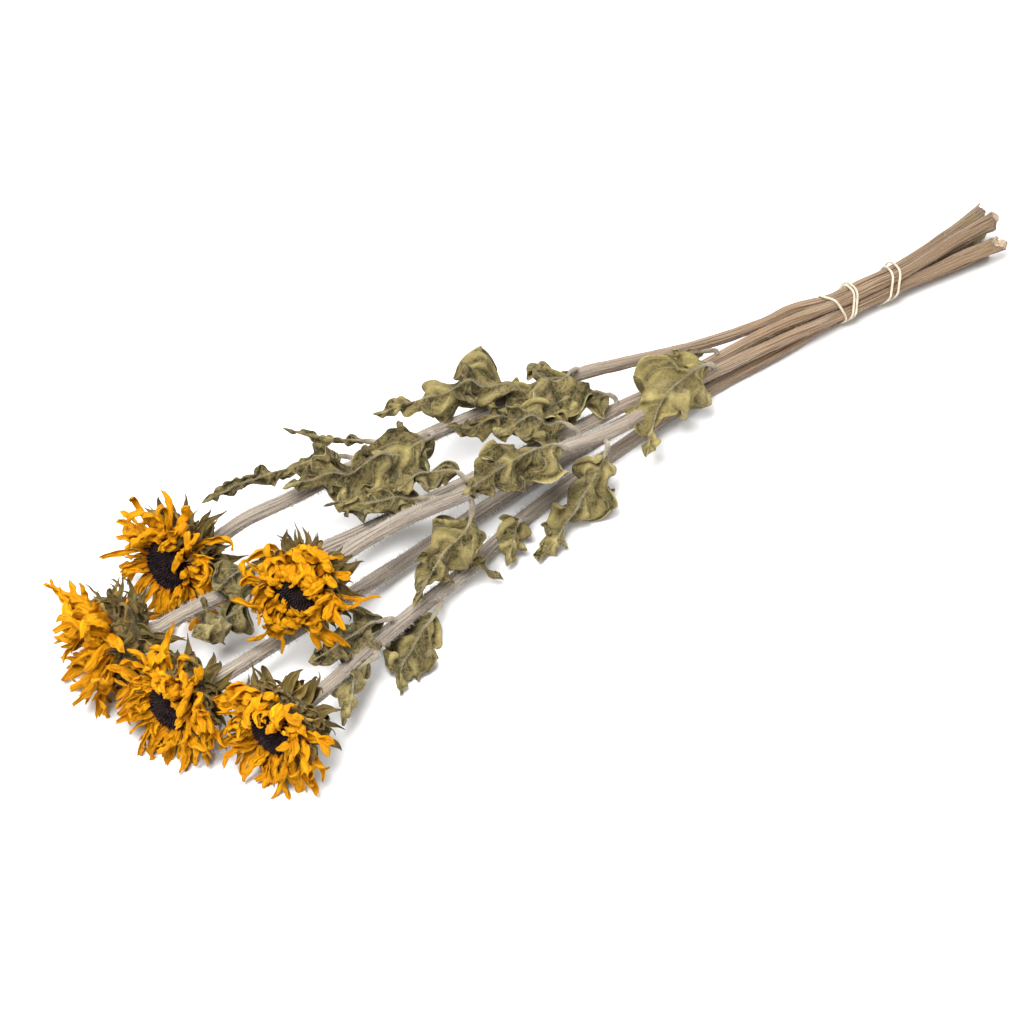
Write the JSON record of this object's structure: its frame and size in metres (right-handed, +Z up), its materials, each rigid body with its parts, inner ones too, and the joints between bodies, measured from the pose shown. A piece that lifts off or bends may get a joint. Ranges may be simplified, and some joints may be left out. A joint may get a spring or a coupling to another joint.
{
  "type": "bunch of sunflowers",
  "caption": "Tied bunch of dried sunflowers lying flat: shrivelled yellow heads with dark discs, hairy ridged stems, crumpled grey-green leaves and rubber bands near the cut ends.",
  "frame": {"origin": "bottom centre of the bunch's box, on the surface it lies on", "axes": "+X along the stems from the flower heads towards the cut ends, +Z up"},
  "size_m": [0.7038, 0.2088, 0.0939],
  "materials": {
    "stem": "dry, ridged lengthwise and hairy",
    "calyx": "dry, felted",
    "seed_disc": "dry, granular",
    "petal": "dry, shrivelled, slightly silky",
    "leaf": "dry, crumpled, veined",
    "rubber_band": "matt natural rubber"
  },
  "bodies": {
    "root": {"stem_1": "stem", "stem_2": "stem", "stem_3": "stem", "stem_4": "stem", "stem_5": "stem", "calyx_1": "calyx", "calyx_2": "calyx", "calyx_3": "calyx", "calyx_4": "calyx", "calyx_5": "calyx", "seed_disc_1": "seed_disc", "seed_disc_2": "seed_disc", "seed_disc_3": "seed_disc", "seed_disc_4": "seed_disc", "seed_disc_5": "seed_disc", "ray_petals_1": "petal", "ray_petals_2": "petal", "ray_petals_3": "petal", "ray_petals_4": "petal", "ray_petals_5": "petal", "leaf_01": "leaf", "leaf_02": "leaf", "leaf_03": "leaf", "leaf_04": "leaf", "leaf_05": "leaf", "leaf_06": "leaf", "leaf_07": "leaf", "leaf_08": "leaf", "leaf_09": "leaf", "leaf_10": "leaf", "leaf_11": "leaf", "leaf_12": "leaf", "leaf_13": "leaf", "leaf_14": "leaf", "leaf_15": "leaf", "leaf_16": "leaf", "leaf_17": "leaf", "leaf_18": "leaf", "leaf_19": "leaf", "leaf_20": "leaf", "leaf_21": "leaf", "rubber_band_end": "rubber_band", "rubber_band_inner": "rubber_band"}
  },
  "joints": []
}
